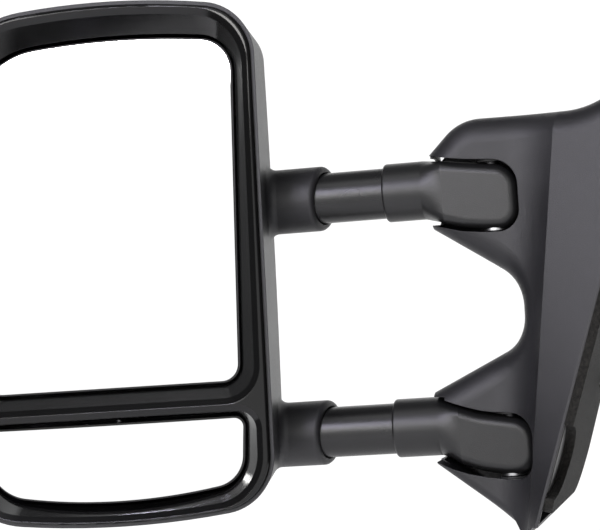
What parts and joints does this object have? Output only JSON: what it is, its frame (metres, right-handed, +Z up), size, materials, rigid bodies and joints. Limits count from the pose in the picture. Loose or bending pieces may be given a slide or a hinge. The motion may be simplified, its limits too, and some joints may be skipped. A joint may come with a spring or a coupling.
{
  "type": "car side mirror",
  "caption": "Telescoping folding towing mirror: a tall head with a flat glass over a convex spotter slides on two tubes that fold at a door-mounted base.",
  "frame": {"origin": "middle of the gasket face that meets the door, at mid-height between the two arms", "axes": "+X inboard to the vehicle, along the arms; -Y to the rear, where the glasses look; +Z up, along the fold axis"},
  "size_m": [0.5308, 0.1743, 0.3815],
  "materials": {
    "grained_plastic": "fine textured satin black",
    "gloss_black": "smooth satin to gloss black",
    "frame_plastic": "plain moulded black",
    "coated_casting": "fine textured black coating",
    "coated_tube": "smooth semi-gloss black coating",
    "zinc_steel": "zinc plated",
    "dark_steel": "black oxide",
    "spring_steel": "oiled",
    "bush_plastic": "slippery acetal",
    "seal_rubber": "soft black",
    "foam": "wrinkled closed-cell foam",
    "mirror": "silvered"
  },
  "bodies": {
    "base": {"base_housing": "grained_plastic", "base_bracket": "coated_casting", "door_gasket": "foam", "door_studs": "zinc_steel", "housing_screws": "zinc_steel", "upper_pivot_bushes": "bush_plastic", "lower_pivot_bushes": "bush_plastic"},
    "arms": {"upper_arm_root": "coated_casting", "lower_arm_root": "coated_casting", "upper_tube": "coated_tube", "lower_tube": "coated_tube", "upper_tube_stop": "bush_plastic", "lower_tube_stop": "bush_plastic", "upper_fold_pin": "dark_steel", "lower_fold_pin": "dark_steel", "upper_pin_nut": "dark_steel", "lower_pin_nut": "dark_steel", "upper_detent_spring": "spring_steel", "lower_detent_spring": "spring_steel", "upper_detent_washer": "zinc_steel", "lower_detent_washer": "zinc_steel", "root_set_screws": "zinc_steel"},
    "head": {"head_shell": "grained_plastic", "head_bezel": "gloss_black", "head_frame": "frame_plastic", "frame_screws": "zinc_steel", "upper_collar_bush": "bush_plastic", "lower_collar_bush": "bush_plastic", "upper_inner_bush": "bush_plastic", "lower_inner_bush": "bush_plastic", "upper_wiper_seal": "seal_rubber", "lower_wiper_seal": "seal_rubber"},
    "main_gimbal": {"main_gimbal_ring": "frame_plastic", "main_pan_pins": "zinc_steel", "main_tilt_pins": "zinc_steel"},
    "main_mirror": {"main_backing": "frame_plastic", "main_glass": "mirror"},
    "spotter_gimbal": {"spotter_gimbal_ring": "frame_plastic", "spotter_pan_pins": "zinc_steel", "spotter_tilt_pins": "zinc_steel"},
    "spotter_mirror": {"spotter_backing": "frame_plastic", "spotter_glass": "mirror"}
  },
  "joints": [
    {"name": "arms_fold", "type": "hinge", "parent": "base", "child": "arms", "pos_m": [-0.076, -0.009, 0], "axis": [0, 0, 1], "range_deg": [0, 75]},
    {"name": "head_slide", "type": "slide", "parent": "arms", "child": "head", "axis": [-1, 0, 0], "range_m": [-0.032, 0.066]},
    {"name": "main_pan", "type": "hinge", "parent": "head", "child": "main_gimbal", "pos_m": [-0.345, -0.028, 0.0815], "axis": [0, 0, 1], "range_deg": [-7, 7]},
    {"name": "main_tilt", "type": "hinge", "parent": "main_gimbal", "child": "main_mirror", "pos_m": [-0.345, -0.028, 0.0815], "axis": [1, 0, 0], "range_deg": [-6, 6]},
    {"name": "spotter_pan", "type": "hinge", "parent": "head", "child": "spotter_gimbal", "pos_m": [-0.349, -0.028, -0.0815], "axis": [0, 0, 1], "range_deg": [-6, 6]},
    {"name": "spotter_tilt", "type": "hinge", "parent": "spotter_gimbal", "child": "spotter_mirror", "pos_m": [-0.349, -0.028, -0.0815], "axis": [1, 0, 0], "range_deg": [-5, 5]}
  ]
}
